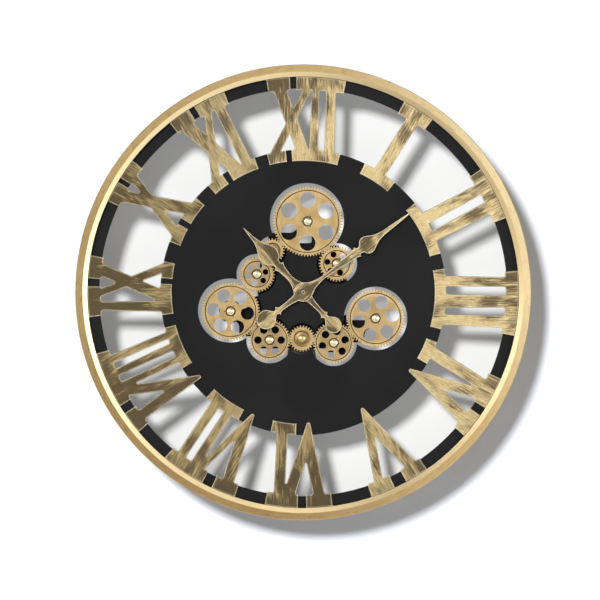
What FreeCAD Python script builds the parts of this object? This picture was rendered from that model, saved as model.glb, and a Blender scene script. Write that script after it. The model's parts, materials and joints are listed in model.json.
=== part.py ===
import os
from math import acos, atan2, cos, degrees, pi, radians, sin, tan

from FreeCAD import Vector
import Part

# Wall clock, 600 mm across, with a ring of nine turning gears in its dial.
# All lengths are in millimetres. The arbor that carries the hands is the Y axis.
# +Z is up and the front looks along -Y. "Height" below is the distance that something
# stands off the wall, so height 0 is the wall and CLOCK_DEPTH is the foremost surface.

CLOCK_RADIUS = 300.0
CLOCK_DEPTH = 60.0
SHEET = 1.5                      # rolled steel of the outer ring

BEVEL_TOP_RADIUS = 290.4         # inner edge of the ring's flat front
BEVEL_FOOT_RADIUS = 284.3        # inner edge of the bevel, and the lip that stands behind it
BEVEL_FOOT_HEIGHT = 57.0
RIM_CHAMFER = 0.8
BACK_FLANGE = 10.0

DIAL_BACK = 50.0
DIAL_FRONT = 52.0
WINDOW_OUTER = 268.6             # the wall shows between these two radii
WINDOW_INNER = 188.2
CHAPTER_OUTER = 298.0

NUMERAL_FRONT = 54.5
NUMERAL_OUTER = 284.1
NUMERAL_INNER = 173.2
NUMERAL_CHAMFER = 0.8
STUD_RADIUS = 1.5
STUD_HEAD_RADII = (1.9, 2.8)     # of its peened end, at the back and against the plate

MODULE = 1.25                    # of the nine decorative gears
PRESSURE_ANGLE = radians(20)
BACKLASH = 0.36
FIRST_TOOTH = 90.0               # a wheel that sets the phase of others has a tooth pointing up
DOWN = 270.0
GEAR_BACK = 46.5
GEAR_FRONT = 51.5
AXLE_RADIUS = 2.5
BORE_CLEARANCE = 0.05
END_FLOAT = 0.15                 # a gear's play along its axle
GROOVE_WIDTH = 1.8               # ring groove inside the teeth
GROOVE_DEPTH = 2.4
HUB_RECESS_RADIUS = 7.2
HUB_RECESS_DEPTH = 2.2
NOTCH_LENGTH = 2.2               # of the three notches that lead out of the recess
NOTCH_WIDTH = 1.4
DISH_DEPTH = 3.0                 # of the two small gears, which are dished instead
CAP_RADIUS = 4.7
CAP_SKIRT = 2.6
CAP_HEIGHT = 53.6
CAP_SEAT = GEAR_FRONT - HUB_RECESS_DEPTH + END_FLOAT

PLATE_BACK = 38.0                # black plate that carries the gears
PLATE_FRONT = 40.0

HOUR_HAND = (54.9, 56.2)         # back and front heights
MINUTE_HAND = (57.0, 58.3)
HAND_HUB_RADIUS = 12.0
HAND_CHAMFER = 0.45
CAP_NUT_RADIUS = 2.6

MOVEMENT_SIDE = 56.0
MOVEMENT_BACK = 22.0
BUSH_RADIUS = 4.0                # M8 threaded bush

EVERYTHING = {}


def keep(name, shape):
    """Store one named piece of the clock."""
    EVERYTHING[name] = shape


def point(across, up, height=0.0):
    return Vector(across, CLOCK_DEPTH / 2 - height, up)


def polar(radius, angle, height=0.0):
    """Point at a radius from the arbor, angle in degrees clockwise from twelve o'clock."""
    return point(radius * sin(radians(angle)), radius * cos(radians(angle)), height)


def cylinder(x, z, radius, back, front):
    return Part.makeCylinder(radius, front - back, point(x, z, back), Vector(0, -1, 0))


def tube(x, z, outer, inner, back, front):
    return cylinder(x, z, outer, back, front).cut(cylinder(x, z, inner, back - 1, front + 1))


def block(x0, x1, z0, z1, back, front):
    return Part.makeBox(x1 - x0, front - back, z1 - z0, point(x0, z0, front))


def prism(edges, back, front):
    """Plate between two heights, from edges drawn at height 0."""
    face = Part.Face(Part.Wire(edges))
    face.translate(Vector(0, -back, 0))
    return face.extrude(Vector(0, back - front, 0))


def polygon(corners):
    """Straight edges through (across, up) corners."""
    points = [point(x, z) for x, z in corners]
    return [Part.makeLine(a, b) for a, b in zip(points, points[1:] + points[:1])]


def sector(inner, outer, start, end, back, front):
    """Piece of a ring between two clockwise angles."""
    middle = (start + end) / 2
    edges = [
        Part.Arc(polar(outer, start), polar(outer, middle), polar(outer, end)).toShape(),
        Part.makeLine(polar(outer, end), polar(inner, end)),
        Part.Arc(polar(inner, end), polar(inner, middle), polar(inner, start)).toShape(),
        Part.makeLine(polar(inner, start), polar(outer, start)),
    ]
    return prism(edges, back, front)


def revolve(profile):
    """Turn (radius, height) corners round the arbor."""
    points = [point(r, 0, h) for r, h in profile]
    wire = Part.makePolygon(points + points[:1])
    return Part.Face(wire).revolve(point(0, 0), Vector(0, 1, 0), 360)


def front_edges(solid, height):
    """Edges of the foremost flat face, which lies at the given height."""
    level = CLOCK_DEPTH / 2 - height
    faces = [f for f in solid.Faces if abs(f.BoundBox.YMin - level) + abs(f.BoundBox.YMax - level) < 1e-4]
    return [edge for face in faces for edge in face.Edges]


def fuse(shapes):
    first, *others = shapes
    return first.multiFuse(others).removeSplitter()


# ---------------------------------------------------------------- outer ring and dial plates

def outer_ring():
    """Rolled sheet: back flange, rim, flat front, bevel, and a lip that stands on the black ring."""
    front = CLOCK_DEPTH
    return revolve([
        (CLOCK_RADIUS, 0),
        (CLOCK_RADIUS, front - RIM_CHAMFER),
        (CLOCK_RADIUS - RIM_CHAMFER, front),
        (BEVEL_TOP_RADIUS, front),
        (BEVEL_FOOT_RADIUS, BEVEL_FOOT_HEIGHT),
        (BEVEL_FOOT_RADIUS, DIAL_FRONT),
        (BEVEL_FOOT_RADIUS + SHEET, DIAL_FRONT),
        (BEVEL_FOOT_RADIUS + SHEET, BEVEL_FOOT_HEIGHT - SHEET / 3),
        (BEVEL_TOP_RADIUS + SHEET / 3, front - SHEET),
        (CLOCK_RADIUS - SHEET, front - SHEET),
        (CLOCK_RADIUS - SHEET, SHEET),
        (CLOCK_RADIUS - BACK_FLANGE, SHEET),
        (CLOCK_RADIUS - BACK_FLANGE, 0),
    ])


def chapter_ring():
    ring = tube(0, 0, CHAPTER_OUTER, WINDOW_OUTER, DIAL_BACK, DIAL_FRONT)
    return ring.cut(stud_holes())


def dial_disc():
    disc = cylinder(0, 0, WINDOW_INNER, DIAL_BACK, DIAL_FRONT)
    holes = [cylinder(0, 0, BUSH_RADIUS + 0.1, DIAL_BACK - 1, DIAL_FRONT + 1)]
    for gear in GEARS:
        x, z = gear.x + gear.cut_shift[0], gear.z + gear.cut_shift[1]
        holes.append(cylinder(x, z, gear.cut_radius, DIAL_BACK - 1, DIAL_FRONT + 1))
    holes += stud_holes()
    return disc.cut(holes)


# ---------------------------------------------------------------- roman numerals

# Each numeral is drawn in its own frame: "up" is away from the arbor along the hour's line and
# "across" is clockwise from it. A bar runs from the window's outer edge to its inner edge and is
# given by its left and right sides at both ends, so bars cover the strokes of I, V and X alike.
# RIM and FOOT are the serif blocks on the two black rings, as clockwise spans across the hour's
# line: the rim's at its middle radius, the feet's at theirs.

BAR_TOP = 267.0
BAR_FOOT = 188.0
SERIF_RIM = 275.0
SERIF_FOOT = 178.0
SERIF_OVERLAP = 2.0              # width of a rim serif that reaches over the window
BAR_OVERRUN = 6.0                # length that a bar runs on under its serifs
APEX = 164.0                     # where the sides of a V would meet, before its tip is rounded
APEX_ROUND = 2.6

STEM, VEE = "stem", "vee"


def stem(left, right, foot_left, foot_right):
    return STEM, (left, right, foot_left, foot_right)


def vee(left, right, tip, thick, thin):
    """V between two outer sides at the top, with its left and right stroke widths."""
    return VEE, (left, right, tip, thick, thin)


NUMERALS = {
    1: ([stem(3, 20.5, 0, 17)], [(-10, 33)], [(-14, 31)]),
    2: ([stem(-9, 6, -12, 4), stem(17, 34, 15, 29)], [(-23, 48)], [(-27, 45)]),
    3: ([stem(-20, -7, -22, -8), stem(4, 20, 2.5, 20.5), stem(31, 47, 29, 43)], [(-28, 57)], [(-30, 48)]),
    4: ([stem(-21, -5.5, -24, -8), vee(-8, 46, 18.5, 15, 16)], [(-31, 12), (23, 57)], [(-30, 0)]),
    5: ([vee(-17, 45.5, 9.2, 16, 13)], [(-24, 7), (23, 56)], []),
    6: ([vee(-29, 27, -7.5, 16, 16), stem(24, 39, 20.5, 35)], [(-38, -4), (7, 50)], [(9, 42)]),
    7: ([vee(-47.5, 6.5, -23.5, 16, 10), stem(4, 17, 1, 12), stem(25, 38, 20, 33)],
        [(-56, -23), (-10, 48)], [(-10, 40)]),
    8: ([vee(-41, 12, -29.3, 15, 15), stem(8, 18, 1, 11), stem(26.5, 36.5, 19, 30), stem(44.5, 56, 36, 46)],
        [(-50, -20), (-9, 66)], [(-7, 50)]),
    9: ([stem(-24, -12, -25.5, -11), stem(-6, 5, 24, 37), stem(22, 39, -13, 5)],
        [(-32, 8), (18, 48)], [(-29, 11), (18, 40)]),
    10: ([stem(-17, 0.5, 10.5, 28), stem(12.5, 24.5, -22, -8)], [(-24, 4), (10, 37)], [(-29, -4), (4, 36)]),
    11: ([stem(-34, -15, -5, 13), stem(4, 15, -31, -18), stem(19, 33, 14, 28)],
         [(-40, -10), (-2, 41)], [(-37, -14), (-6, 32)]),
    12: ([stem(-40, -22, -10, 7), stem(0, 11, -41, -28), stem(11, 21, 8, 20), stem(30, 43, 28, 41)],
         [(-48, -17), (-9, 56)], [(-47, -22), (-15, 48)]),
}


def span_angles(span, radius):
    return [degrees(atan2(across, radius)) for across in span]


def bar_solid(sides):
    left, right, foot_left, foot_right = sides
    length = BAR_TOP - BAR_FOOT

    def side(top, foot, up):
        return foot + (top - foot) * (up - BAR_FOOT) / length, up

    high, low = BAR_TOP + BAR_OVERRUN, BAR_FOOT - BAR_OVERRUN
    corners = [
        side(left, foot_left, high),
        side(right, foot_right, high),
        side(right, foot_right, low),
        side(left, foot_left, low),
    ]
    return prism(polygon(corners), DIAL_FRONT, NUMERAL_FRONT)


def vee_solid(sides):
    left, right, tip, thick, thin = sides
    drop = (right - thin - left - thick) / (right - left)
    notch = BAR_TOP - drop * (BAR_TOP - APEX)
    notch_across = left + thick + (tip - left) * drop
    high = BAR_TOP + BAR_OVERRUN
    lean_left = (tip - left) / (BAR_TOP - APEX)
    lean_right = (tip - right) / (BAR_TOP - APEX)
    corners = [
        (left - BAR_OVERRUN * lean_left, high),
        (left + thick - BAR_OVERRUN * lean_left, high),
        (notch_across, notch),
        (right - thin - BAR_OVERRUN * lean_right, high),
        (right - BAR_OVERRUN * lean_right, high),
        (tip, APEX),
    ]
    solid = prism(polygon(corners), DIAL_FRONT, NUMERAL_FRONT)
    tip_edge = [e for e in solid.Edges if abs(e.BoundBox.ZMax - APEX) < 1e-4 and e.BoundBox.YLength > 1]
    return solid.makeFillet(APEX_ROUND, tip_edge)


def inner_corners(solid):
    """Places of the concave corners, each with the radius that rounds it."""
    corners = []
    middle = (DIAL_FRONT + NUMERAL_FRONT) / 2
    samples = 24
    for edge in solid.Edges:
        box = edge.BoundBox
        if box.YLength < 1 or box.XLength > 1e-4 or box.ZLength > 1e-4:
            continue
        turns = [2 * pi * k / samples for k in range(samples)]
        around = [point(box.XMin + 0.3 * cos(t), box.ZMin + 0.3 * sin(t), middle) for t in turns]
        filled = sum(solid.isInside(p, 1e-4, True) for p in around) / samples
        if filled > 0.6:
            corners.append((box.XMin, box.ZMin, 0.9 if filled > 0.8 else 2.2))
    return corners


def round_corners(solid):
    """Round the concave corners one by one, leaving a corner sharp where there is no room."""
    for x, z, radius in inner_corners(solid):
        edges = [e for e in solid.Edges if e.BoundBox.YLength > 1
                 and abs(e.BoundBox.XMin - x) + abs(e.BoundBox.ZMin - z) < 1e-3]
        for size in (radius, radius / 2):
            try:
                rounded = solid.makeFillet(size, edges)
            except Part.OCCError:
                continue
            if rounded.isValid() and rounded.Volume > solid.Volume:
                solid = rounded
                break
    return solid


def numeral(hour):
    strokes, rim, foot = NUMERALS[hour]
    solids = []
    for kind, sides in strokes:
        solids.append(bar_solid(sides) if kind == STEM else vee_solid(sides))
    for span in rim:
        solids.append(sector(WINDOW_OUTER - SERIF_OVERLAP, NUMERAL_OUTER, *span_angles(span, SERIF_RIM),
                             DIAL_FRONT, NUMERAL_FRONT))
    for span in foot:
        solids.append(sector(NUMERAL_INNER, WINDOW_INNER, *span_angles(span, SERIF_FOOT),
                             DIAL_FRONT, NUMERAL_FRONT))
    solid = fuse(solids)
    solid = round_corners(solid)
    solid = solid.makeChamfer(NUMERAL_CHAMFER, front_edges(solid, NUMERAL_FRONT))
    solid = solid.rotate(Vector(0, 0, 0), Vector(0, 1, 0), 30 * hour)
    return fuse([solid] + [riveted_stud(*place) for place in stud_places(hour)])


def stud_places(hour):
    """Radius and clockwise angle of every stud that holds a numeral to the black rings."""
    strokes, rim, foot = NUMERALS[hour]
    places = []
    for span in rim:
        places.append((SERIF_RIM + 1.5, 30 * hour + sum(span_angles(span, SERIF_RIM)) / 2))
    for span in foot:
        places.append((SERIF_FOOT + 2, 30 * hour + sum(span_angles(span, SERIF_FOOT)) / 2))
    for kind, sides in strokes:
        if kind == VEE:
            places.append((SERIF_FOOT + 3, 30 * hour + degrees(atan2(sides[2], SERIF_FOOT))))
    return places


def riveted_stud(radius, angle):
    """Stud on a numeral's back, passed through the plate and peened over behind it."""
    place = polar(radius, angle)
    shaft = cylinder(place.x, place.z, STUD_RADIUS, DIAL_BACK - 1, DIAL_FRONT + 0.5)
    head = Part.makeCone(*STUD_HEAD_RADII, 1.0, polar(radius, angle, DIAL_BACK - 1), Vector(0, -1, 0))
    return head.fuse(shaft)


def stud_holes():
    holes = []
    for hour in NUMERALS:
        for radius, angle in stud_places(hour):
            place = polar(radius, angle)
            holes.append(cylinder(place.x, place.z, STUD_RADIUS, DIAL_BACK - 1, DIAL_FRONT + 1))
    return holes


# ---------------------------------------------------------------- turning gears

def mesh_phase(phase, teeth, bearing, other_teeth):
    """Phase that puts a tooth of the other gear in a gap of this one.

    The phase is the angle of a tooth's middle and the bearing is the direction from this gear to
    the other, both in degrees anticlockwise from +X.
    """
    return bearing + 180 + (180 - (phase - bearing) * teeth) / other_teeth


class Gear:
    """One decorative gear: teeth, place, the ring groove and the round holes in its web."""

    def __init__(self, name, teeth, groove, holes=None, cut=3.0, cut_shift=(0.0, 0.0)):
        self.name = name
        self.teeth = teeth
        self.groove = groove
        self.holes = holes
        self.cut_radius = MODULE * (teeth + 2) / 2 + cut
        self.cut_shift = cut_shift
        self.x = 0.0
        self.z = 0.0
        self.phase = FIRST_TOOTH

    def mesh_with(self, other, bearing):
        """Put this gear beside another, in mesh with it, at a bearing from the other's axle."""
        reach = MODULE * (self.teeth + other.teeth) / 2
        self.x = other.x + reach * cos(radians(bearing))
        self.z = other.z + reach * sin(radians(bearing))
        self.phase = mesh_phase(other.phase, other.teeth, bearing, self.teeth)
        return self


def involute(angle):
    return tan(angle) - angle


def half_tooth(teeth, module, radius, backlash):
    """Half the angle that a tooth covers at a radius."""
    pitch = module * teeth / 2
    base = pitch * cos(PRESSURE_ANGLE)
    roll = acos(min(1.0, base / radius))
    return pi / (2 * teeth) - backlash / (4 * pitch) + involute(PRESSURE_ANGLE) - involute(roll)


def toothed_disc(x, z, teeth, module, phase, back, front, backlash):
    """Spur gear blank with straight flanks cut between an involute's two ends."""
    tip = module * (teeth + 2) / 2
    root = module * (teeth - 2.5) / 2
    flank = max(root, module * teeth / 2 * cos(PRESSURE_ANGLE))
    at_tip = half_tooth(teeth, module, tip, backlash)
    at_root = half_tooth(teeth, module, flank, backlash)
    corners = []
    for k in range(teeth):
        middle = radians(phase) + 2 * pi * k / teeth
        for radius, angle in ((root, -at_root), (tip, -at_tip), (tip, at_tip), (root, at_root)):
            corners.append((x + radius * cos(middle + angle), z + radius * sin(middle + angle)))
    return prism(polygon(corners), back, front)


# Web holes: pitch-circle radius, hole radius, angle of the first of six.
TOP = Gear("gear_top", 72, 40.8, (28.2, 10.5, 30.0), 2.5, (-0.8, 1.8))
UPPER_RIGHT = Gear("gear_upper_right", 36, 17.1, (12.6, 4.1, 50.0))
UPPER_LEFT = Gear("gear_upper_left", 24, 10.6)
MIDDLE_LEFT = Gear("gear_middle_left", 36, 17.1, (11.7, 3.9, 15.0))
LEFT = Gear("gear_left", 60, 33.2, (22.4, 8.8, -6.0), 3.4, (-0.7, 1.2))
LOWER_LEFT = Gear("gear_lower_left", 42, 23.0, (15.3, 5.1, 0.0))
BOTTOM = Gear("gear_bottom", 26, 10.8)
LOWER_RIGHT = Gear("gear_lower_right", 42, 23.0, (15.4, 5.1, 15.0))
RIGHT = Gear("gear_right", 60, 33.2, (22.8, 8.7, 11.0))

TOP.x, TOP.z = 5.8, 93.4
UPPER_RIGHT.mesh_with(TOP, -55.3)
UPPER_LEFT.mesh_with(TOP, 219.6)
MIDDLE_LEFT.mesh_with(UPPER_LEFT, 236.7)
LEFT.mesh_with(MIDDLE_LEFT, 234.7)
LOWER_LEFT.mesh_with(LEFT, -36.3)
BOTTOM.mesh_with(LOWER_LEFT, 2.6)
LOWER_RIGHT.mesh_with(BOTTOM, -7.6)
RIGHT.mesh_with(LOWER_RIGHT, 30.3)

GEARS = [TOP, UPPER_RIGHT, UPPER_LEFT, MIDDLE_LEFT, LEFT, LOWER_LEFT, BOTTOM, LOWER_RIGHT, RIGHT]


def ring_groove(gear):
    outer = gear.groove + GROOVE_WIDTH / 2
    return tube(gear.x, gear.z, outer, outer - GROOVE_WIDTH, GEAR_FRONT - GROOVE_DEPTH, GEAR_FRONT + 1)


def hub_recess(gear):
    """Round recess for the axle cap, with three short notches leading out of it."""
    floor = GEAR_FRONT - HUB_RECESS_DEPTH
    shapes = [cylinder(gear.x, gear.z, HUB_RECESS_RADIUS, floor, GEAR_FRONT + 1)]
    end = gear.x + HUB_RECESS_RADIUS + NOTCH_LENGTH
    half = NOTCH_WIDTH / 2
    for k in range(3):
        notch = block(gear.x, end, gear.z - half, gear.z + half, floor, GEAR_FRONT + 1)
        shapes.append(notch.rotate(point(gear.x, gear.z), Vector(0, -1, 0), 60 + 120 * k))
    return shapes


def gear_solid(gear):
    solid = toothed_disc(gear.x, gear.z, gear.teeth, MODULE, gear.phase, GEAR_BACK, GEAR_FRONT, BACKLASH)
    bore = AXLE_RADIUS if gear is BOTTOM else AXLE_RADIUS + BORE_CLEARANCE
    cuts = [cylinder(gear.x, gear.z, bore, GEAR_BACK - 1, GEAR_FRONT + 1)]
    if gear.holes:
        pitch, radius, first = gear.holes
        for k in range(6):
            angle = radians(first + 60 * k)
            cuts.append(cylinder(gear.x + pitch * cos(angle), gear.z + pitch * sin(angle), radius,
                                 GEAR_BACK - 1, GEAR_FRONT + 1))
        cuts.append(ring_groove(gear))
        cuts += hub_recess(gear)
    else:
        cuts.append(dish(gear))
    return solid.cut(cuts)


def dish(gear):
    """Cup with a rounded floor and a raised cone round the axle."""
    floor = GEAR_FRONT - DISH_DEPTH
    cup = cylinder(gear.x, gear.z, gear.groove, floor, GEAR_FRONT + 1)
    floor_y = point(0, 0, floor).y
    rim = [e for e in cup.Edges if abs(e.BoundBox.YMax - floor_y) < 1e-4 and e.BoundBox.YLength < 1e-4]
    cone_height = DISH_DEPTH - HUB_RECESS_DEPTH
    cone = Part.makeCone(8.6, 5.4, cone_height, point(gear.x, gear.z, floor), Vector(0, -1, 0))
    return cup.makeFillet(1.8, rim).cut(cone)


def axle_cap(gear):
    """Domed cap with a turned ring round its crown."""
    shoulder = CAP_SEAT + CAP_SKIRT
    rise = CAP_HEIGHT - shoulder
    skirt = cylinder(gear.x, gear.z, CAP_RADIUS, CAP_SEAT, shoulder)
    ball_radius = (CAP_RADIUS ** 2 + rise ** 2) / (2 * rise)
    ball = Part.makeSphere(ball_radius, point(gear.x, gear.z, CAP_HEIGHT - ball_radius))
    dome = ball.common(cylinder(gear.x, gear.z, CAP_RADIUS, shoulder, CAP_HEIGHT + 1))
    groove = tube(gear.x, gear.z, 2.9, 2.4, CAP_HEIGHT - 0.75, CAP_HEIGHT + 1)
    return skirt.fuse(dome).removeSplitter().cut(groove)


def fixed_axle(gear):
    """Shouldered stud riveted into the gear plate."""
    head = cylinder(gear.x, gear.z, 4.0, PLATE_BACK - 1.5, PLATE_BACK)
    shank = cylinder(gear.x, gear.z, AXLE_RADIUS, PLATE_BACK - 1.5, CAP_SEAT)
    shoulder = cylinder(gear.x, gear.z, 4.5, PLATE_FRONT, GEAR_BACK - END_FLOAT)
    return fuse([head, shank, shoulder])


def cove(x, z, x_side, z_side, radius):
    """Fillet in the plate's inside corner at (x, z), open towards the given sides."""
    x_end, z_end = x + x_side * radius, z + z_side * radius
    square = block(min(x, x_end), max(x, x_end), min(z, z_end), max(z, z_end), PLATE_BACK, PLATE_FRONT)
    return square.cut(cylinder(x_end, z_end, radius, PLATE_BACK - 1, PLATE_FRONT + 1))


STANDOFFS = [(44.0, 3.0), (0.0, 38.5), (-33.0, 4.0), (-38.0, -22.0), (0.0, -35.0), (36.0, -20.0)]
STANDOFF_RADIUS = 3.6
SCREW_RADIUS = 1.45              # M3, cut a little under size
SCREW_CLEARANCE = 1.6            # radius of the holes that the screws pass through
SCREW_LENGTH = 7.0
SCREW_HEAD_RADIUS = 3.0
SCREW_HEAD_HEIGHT = 1.8


def gear_plate():
    """Black plate behind the dial that carries the gears."""
    back, front = PLATE_BACK, PLATE_FRONT
    parts = [
        cylinder(0, 0, 60.0, back, front),
        # arm and boss of the top gear
        block(11.2, 19.2, 40, 94, back, front),
        cylinder(TOP.x, TOP.z, 15.0, back, front),
        block(-7, 11.3, 30, 65, back, front),
        cove(11.3, 65, -1, 1, 3.5),
        # shelf behind the two small gears at the upper left
        block(-46, -7, 30, 78.7, back, front),
        cove(-7.6, 78.7, -1, 1, 10),
        block(-57, -30, -10, 45, back, front),
        cylinder(MIDDLE_LEFT.x, MIDDLE_LEFT.z, 7.0, back, front),
        # shelf behind the upper right gear
        block(20, 47, 10, 62, back, front),
        # left arm
        block(-84.4, -40, -58, -21.5, back, front),
        block(-96, -40, -36.5, -21.5, back, front),
        cylinder(LEFT.x, LEFT.z, 15.0, back, front),
        block(-67, -40, -30, -5, back, front),
        cove(-67, -21.5, -1, 1, 14),
        cove(-84.4, -36.5, -1, -1, 10),
        # lower shelf, behind the three gears of the bottom row
        block(-66, 44, -74, -20, back, front),
        block(30, 57, -84, -30, back, front),
        # right arm
        block(40, 80.8, -66, -36.5, back, front),
        cylinder(RIGHT.x, RIGHT.z, 12.5, back, front),
        block(80, RIGHT.x, -47, -36.5, back, front),
        cove(80.8, -47, 1, -1, 10),
    ]
    plate = fuse(parts)
    plate = plate.cut(cylinder(0, 0, BUSH_RADIUS + 0.1, back - 1, front + 1))
    plate = plate.cut(block(31, 43.5, -85, -79, back - 1, front + 1))
    for gear in GEARS:
        radius = OUTPUT_BUSH_RADIUS if gear is BOTTOM else AXLE_RADIUS
        plate = plate.cut(cylinder(gear.x, gear.z, radius, back - 1, front + 1))
    for x, z in STANDOFFS:
        plate = plate.cut(cylinder(x, z, SCREW_CLEARANCE, back - 1, front + 1))
    return plate


def standoff(x, z):
    thread = cylinder(x, z, SCREW_RADIUS, PLATE_FRONT - 1, DIAL_BACK - 3)
    return cylinder(x, z, STANDOFF_RADIUS, PLATE_FRONT, DIAL_BACK).cut(thread)


def pan_screw(x, z, seat):
    """M3 cross-head screw driven from behind, its head behind the seat height."""
    screw = cylinder(x, z, SCREW_HEAD_RADIUS, seat - SCREW_HEAD_HEIGHT, seat)
    rim = [e for e in screw.Edges if e.BoundBox.YLength < 1e-4 and e.BoundBox.YMin > point(0, 0, seat - 1).y]
    screw = screw.makeFillet(0.8, rim)
    shank = cylinder(x, z, SCREW_RADIUS, seat, seat + SCREW_LENGTH)
    screw = screw.fuse(shank).removeSplitter()
    for across, up in ((1.8, 0.4), (0.4, 1.8)):
        screw = screw.cut(block(x - across, x + across, z - up, z + up, seat - 3, seat - 0.9))
    return screw


# ---------------------------------------------------------------- gear motor

OUTPUT_BUSH_RADIUS = 4.5
MOTOR_MODULE = 0.5
MOTOR_BACKLASH = 0.16
OUTPUT_WHEEL_TEETH = 60
MOTOR_PINION_TEETH = 12
MOTOR_REACH = MOTOR_MODULE * (OUTPUT_WHEEL_TEETH + MOTOR_PINION_TEETH) / 2
MOTOR_BACK = 20.0
MOTOR_WALL = 1.6
MOTOR_X = BOTTOM.x
MOTOR_Z = BOTTOM.z - MOTOR_REACH
CASE_LEFT = BOTTOM.x - 18.5
CASE_RIGHT = BOTTOM.x + 18.5
CASE_TOP = BOTTOM.z + 18.5
CASE_FOOT = MOTOR_Z - 13.5
WHEEL_HEIGHTS = (33.0, 36.0)     # back and front of the output wheel


def motor_case():
    """Deep tray, open at the back, that is screwed behind the gear plate."""
    case = block(CASE_LEFT, CASE_RIGHT, CASE_FOOT, CASE_TOP, MOTOR_BACK + MOTOR_WALL, PLATE_BACK)
    upright = [e for e in case.Edges if e.BoundBox.YLength > 1]
    case = case.makeFillet(4.0, upright)
    room = block(CASE_LEFT + MOTOR_WALL, CASE_RIGHT - MOTOR_WALL, CASE_FOOT + MOTOR_WALL,
                 CASE_TOP - MOTOR_WALL, MOTOR_BACK, PLATE_BACK - MOTOR_WALL)
    case = case.cut(room)
    case = case.cut(cylinder(BOTTOM.x, BOTTOM.z, OUTPUT_BUSH_RADIUS, PLATE_BACK - 3, PLATE_BACK + 1))
    for x, z in case_screws():
        post = cylinder(x, z, 2.8, MOTOR_BACK + MOTOR_WALL, PLATE_BACK - 0.5)
        case = case.fuse(post).cut(cylinder(x, z, SCREW_RADIUS, MOTOR_BACK, PLATE_BACK - 3))
    return case.removeSplitter()


def case_screws():
    inset = 4.2
    columns = (CASE_LEFT + inset, CASE_RIGHT - inset)
    rows = (CASE_FOOT + inset, CASE_TOP - inset)
    return [(x, z) for x in columns for z in rows]


def motor_cover():
    cover = block(CASE_LEFT, CASE_RIGHT, CASE_FOOT, CASE_TOP, MOTOR_BACK, MOTOR_BACK + MOTOR_WALL)
    cover = cover.makeFillet(4.0, [e for e in cover.Edges if e.BoundBox.YLength > 1])
    for x, z in case_screws():
        cover = cover.cut(cylinder(x, z, SCREW_CLEARANCE, MOTOR_BACK - 1, MOTOR_BACK + 3))
    shaft_hole = cylinder(BOTTOM.x, BOTTOM.z, AXLE_RADIUS + BORE_CLEARANCE, MOTOR_BACK - 1, MOTOR_BACK + 3)
    return cover.cut(shaft_hole)


def output_shaft():
    shaft = cylinder(BOTTOM.x, BOTTOM.z, AXLE_RADIUS, MOTOR_BACK + 0.3, CAP_SEAT)
    collar = cylinder(BOTTOM.x, BOTTOM.z, 3.6, PLATE_FRONT + 1.2, GEAR_BACK)
    return shaft.fuse(collar).removeSplitter()


def motor_can():
    """Small motor with its pinion end towards the dial."""
    can = cylinder(MOTOR_X, MOTOR_Z, 10.0, MOTOR_BACK + MOTOR_WALL, 31.0)
    rims = [e for e in can.Edges if e.BoundBox.YLength < 1e-4]
    can = can.makeFillet(1.0, rims)
    return can.cut(cylinder(MOTOR_X, MOTOR_Z, 1.05, 26.0, 32.0))


def motor_rotor():
    phase = mesh_phase(FIRST_TOOTH, OUTPUT_WHEEL_TEETH, DOWN, MOTOR_PINION_TEETH)
    pinion = toothed_disc(MOTOR_X, MOTOR_Z, MOTOR_PINION_TEETH, MOTOR_MODULE, phase, 32.6, 36.2,
                          MOTOR_BACKLASH)
    return pinion.fuse(cylinder(MOTOR_X, MOTOR_Z, 1.0, 26.5, 33.0)).removeSplitter()


def output_wheel():
    wheel = toothed_disc(BOTTOM.x, BOTTOM.z, OUTPUT_WHEEL_TEETH, MOTOR_MODULE, FIRST_TOOTH, *WHEEL_HEIGHTS,
                         MOTOR_BACKLASH)
    hub = cylinder(BOTTOM.x, BOTTOM.z, 5.0, WHEEL_HEIGHTS[0] - 4, WHEEL_HEIGHTS[0] + 1)
    return wheel.fuse(hub).removeSplitter().cut(cylinder(BOTTOM.x, BOTTOM.z, AXLE_RADIUS, 20, 40))


def output_bush():
    """Flanged bearing of the output shaft in the gear plate."""
    bush = tube(BOTTOM.x, BOTTOM.z, OUTPUT_BUSH_RADIUS, AXLE_RADIUS + BORE_CLEARANCE,
                PLATE_BACK - MOTOR_WALL, PLATE_FRONT)
    flange = tube(BOTTOM.x, BOTTOM.z, 6.0, AXLE_RADIUS + BORE_CLEARANCE, PLATE_FRONT, PLATE_FRONT + 1)
    return bush.fuse(flange).removeSplitter()


# ---------------------------------------------------------------- motor battery box and switch

AA_RADIUS = 7.2
AA_LENGTH = 50.0
BOX_X = (-27.1, 27.1)
BOX_Z = (-146.0, -112.0)
BOX_BACK = 31.0
BOX_WALL = 1.6
CELL_Z = [(BOX_Z[0] + BOX_Z[1]) / 2 + offset for offset in (-7.6, 7.6)]
CELL_HEIGHT = 41.0
CONTACT_SHEET = 0.5
LEAD_HEIGHT = 35.0


def battery_box():
    """Open tray for two AA cells, glued behind the dial."""
    box = block(*BOX_X, *BOX_Z, BOX_BACK + 2, DIAL_BACK)
    box = box.makeFillet(2.5, [e for e in box.Edges if e.BoundBox.YLength > 1])
    room = block(BOX_X[0] + BOX_WALL, BOX_X[1] - BOX_WALL, BOX_Z[0] + BOX_WALL, BOX_Z[1] - BOX_WALL,
                 BOX_BACK, DIAL_BACK - BOX_WALL)
    return box.cut(room)


def battery_cover():
    """Lift-off lid of the battery box, with a ribbed thumb patch."""
    cover = block(*BOX_X, *BOX_Z, BOX_BACK, BOX_BACK + 2)
    cover = cover.makeFillet(2.5, [e for e in cover.Edges if e.BoundBox.YLength > 1])
    middle = sum(BOX_Z) / 2
    for k in range(5):
        x = BOX_X[1] - 8 - 2.4 * k
        cover = cover.cut(block(x, x + 1.0, middle - 7, middle + 7, BOX_BACK - 1, BOX_BACK + 0.6))
    return cover


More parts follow.
